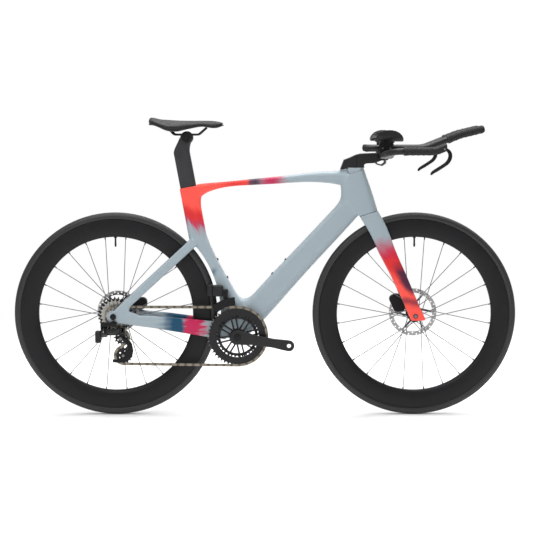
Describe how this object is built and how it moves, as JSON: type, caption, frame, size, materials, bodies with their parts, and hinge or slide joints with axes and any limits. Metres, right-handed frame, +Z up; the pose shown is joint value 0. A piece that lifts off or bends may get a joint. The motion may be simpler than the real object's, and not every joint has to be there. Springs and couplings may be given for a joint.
{
  "type": "time trial bicycle",
  "caption": "Time trial bicycle with a deep aero frame, deep rims, disc brakes, aero extensions with arm cups, a geared chain drive and turning, shifting and braking joints.",
  "frame": {"origin": "on the ground, midway between the wheel axles, in the middle plane", "axes": "+X forward, +Y to the rider's left, +Z up"},
  "size_m": [1.6729, 0.4182, 0.9917],
  "materials": {
    "frame_paint": "gloss paint with airbrushed fades",
    "carbon_satin": "satin carbon fibre",
    "black_alloy": "black anodised",
    "bright_steel": "satin",
    "sprocket_steel": "satin plated",
    "chain_steel": "oiled",
    "moulded_black": "moulded",
    "tyre_black": "slick tread",
    "grip_rubber": "matt wrap",
    "pad_foam": "fine knit over foam",
    "saddle_skin": "matt synthetic cover"
  },
  "bodies": {
    "frame": {"main_frame": "frame_paint", "frame_bearings": "bright_steel", "chainstays": "frame_paint", "seatstays": "frame_paint", "derailleur_hanger": "black_alloy", "bottle_bolts": "black_alloy", "rear_thru_axle": "black_alloy", "rear_brake_caliper": "black_alloy", "front_derailleur_body": "moulded_black", "derailleur_batteries": "moulded_black", "rear_derailleur_knuckle": "black_alloy", "chain": "chain_steel"},
    "seat": {"seat_post": "carbon_satin", "saddle_clamp": "black_alloy", "saddle_rails": "black_alloy", "saddle_shell": "carbon_satin", "saddle_cover": "saddle_skin"},
    "steering": {"fork": "frame_paint", "headset_cover": "frame_paint", "stem": "carbon_satin", "stem_cover": "carbon_satin", "base_bar": "carbon_satin", "bar_tape": "grip_rubber", "brake_hoods": "grip_rubber", "extension_mounts": "carbon_satin", "extensions": "carbon_satin", "arm_cups": "carbon_satin", "arm_pads": "pad_foam", "front_brake_caliper": "black_alloy", "front_thru_axle": "black_alloy", "brake_hoses": "grip_rubber"},
    "front_wheel": {"front_tyre": "tyre_black", "front_rim": "carbon_satin", "front_spokes": "black_alloy", "front_hub": "black_alloy", "front_rotor": "bright_steel", "front_valve": "black_alloy"},
    "rear_wheel": {"rear_tyre": "tyre_black", "rear_rim": "carbon_satin", "rear_spokes": "black_alloy", "rear_hub": "black_alloy", "rear_rotor": "bright_steel", "rear_valve": "black_alloy"},
    "sprockets": {"cassette": "sprocket_steel", "freehub_body": "black_alloy"},
    "crankset": {"crank_arm_right": "carbon_satin", "crank_arm_left": "carbon_satin", "outer_chainring": "black_alloy", "inner_chainring": "bright_steel"},
    "outer_link": {"rd_outer_link": "black_alloy"},
    "inner_link": {"rd_inner_link": "black_alloy"},
    "lower_knuckle": {"rd_lower_knuckle": "black_alloy"},
    "cage": {"rd_cage": "black_alloy"},
    "guide_pulley": {"upper_pulley": "moulded_black"},
    "tension_pulley": {"lower_pulley": "moulded_black"},
    "front_cage": {"fd_cage": "black_alloy"},
    "left_lever": {"brake_lever_left": "black_alloy"},
    "right_lever": {"brake_lever_right": "black_alloy"},
    "left_button": {"shift_button_left": "moulded_black"},
    "right_button": {"shift_button_right": "moulded_black"}
  },
  "joints": [
    {"name": "steering_turn", "type": "hinge", "parent": "frame", "child": "steering", "pos_m": [0.34746, 0, 0.67585], "axis": [-0.2924, 0, 0.9563], "range_deg": [-45, 45]},
    {"name": "front_wheel_spin", "type": "hinge", "parent": "steering", "child": "front_wheel", "pos_m": [0.4975, 0, 0.339], "axis": [0, 1, 0], "continuous": true},
    {"name": "rear_wheel_spin", "type": "hinge", "parent": "frame", "child": "rear_wheel", "pos_m": [-0.4975, 0, 0.339], "axis": [0, 1, 0], "continuous": true},
    {"name": "crank_spin", "type": "hinge", "parent": "frame", "child": "crankset", "pos_m": [-0.09, 0, 0.27], "axis": [0, 1, 0], "continuous": true, "deforming": ["chain"]},
    {"name": "cassette_spin", "type": "hinge", "parent": "frame", "child": "sprockets", "pos_m": [-0.4975, 0, 0.339], "axis": [0, 1, 0], "continuous": true, "deforming": ["chain"]},
    {"name": "rd_outer_swing", "type": "hinge", "parent": "frame", "child": "outer_link", "pos_m": [-0.524, -0.082, 0.292], "axis": [0, 0.5, 0.866], "range_deg": [-19, 35], "deforming": ["chain"]},
    {"name": "rd_inner_swing", "type": "hinge", "parent": "frame", "child": "inner_link", "pos_m": [-0.524, -0.06988, 0.285], "axis": [0, 0.5, 0.866], "range_deg": [-19, 35], "deforming": ["chain"]},
    {"name": "rd_knuckle_swing", "type": "hinge", "parent": "outer_link", "child": "lower_knuckle", "pos_m": [-0.472, -0.082, 0.292], "axis": [0, 0.5, 0.866], "range_deg": [-35, 19], "deforming": ["chain"]},
    {"name": "rd_cage_pivot", "type": "hinge", "parent": "lower_knuckle", "child": "cage", "pos_m": [-0.474, 0, 0.266], "axis": [0, 1, 0], "range_deg": [-20, 30], "stiffness_Nm_per_rad": 0.5, "deforming": ["chain"]},
    {"name": "guide_pulley_spin", "type": "hinge", "parent": "cage", "child": "guide_pulley", "pos_m": [-0.474, 0, 0.266], "axis": [0, 1, 0], "continuous": true, "deforming": ["chain"]},
    {"name": "tension_pulley_spin", "type": "hinge", "parent": "cage", "child": "tension_pulley", "pos_m": [-0.46837, 0, 0.20626], "axis": [0, 1, 0], "continuous": true, "deforming": ["chain"]},
    {"name": "fd_swing", "type": "hinge", "parent": "frame", "child": "front_cage", "pos_m": [-0.13, -0.039, 0.42], "axis": [1, 0, 0], "range_deg": [0, 9], "deforming": ["chain"]},
    {"name": "left_lever_pull", "type": "hinge", "parent": "steering", "child": "left_lever", "pos_m": [0.57054, 0.195, 0.891], "axis": [0, 1, 0], "range_deg": [0, 25], "stiffness_Nm_per_rad": 0.15, "springref_deg": -17.19},
    {"name": "right_lever_pull", "type": "hinge", "parent": "steering", "child": "right_lever", "pos_m": [0.57054, -0.195, 0.891], "axis": [0, 1, 0], "range_deg": [0, 25], "stiffness_Nm_per_rad": 0.15, "springref_deg": -17.19},
    {"name": "left_button_press", "type": "slide", "parent": "steering", "child": "left_button", "axis": [0, 1, 0], "range_m": [0, 0.001], "stiffness_N_per_m": 800, "springref_m": -0.001},
    {"name": "right_button_press", "type": "slide", "parent": "steering", "child": "right_button", "axis": [0, -1, 0], "range_m": [0, 0.001], "stiffness_N_per_m": 800, "springref_m": -0.001},
    {"name": "seat_post_slide", "type": "slide", "parent": "frame", "child": "seat", "axis": [-0.1822, 0, 0.9833], "range_m": [-0.07, 0.02]}
  ],
  "couplings": [
    {"joint": "cassette_spin", "follows": "crank_spin", "ratio": 3.4286},
    {"joint": "guide_pulley_spin", "follows": "crank_spin", "ratio": -4},
    {"joint": "tension_pulley_spin", "follows": "crank_spin", "ratio": 3.4286},
    {"joint": "rd_inner_swing", "follows": "rd_outer_swing", "ratio": 1},
    {"joint": "rd_knuckle_swing", "follows": "rd_outer_swing", "ratio": -1}
  ]
}
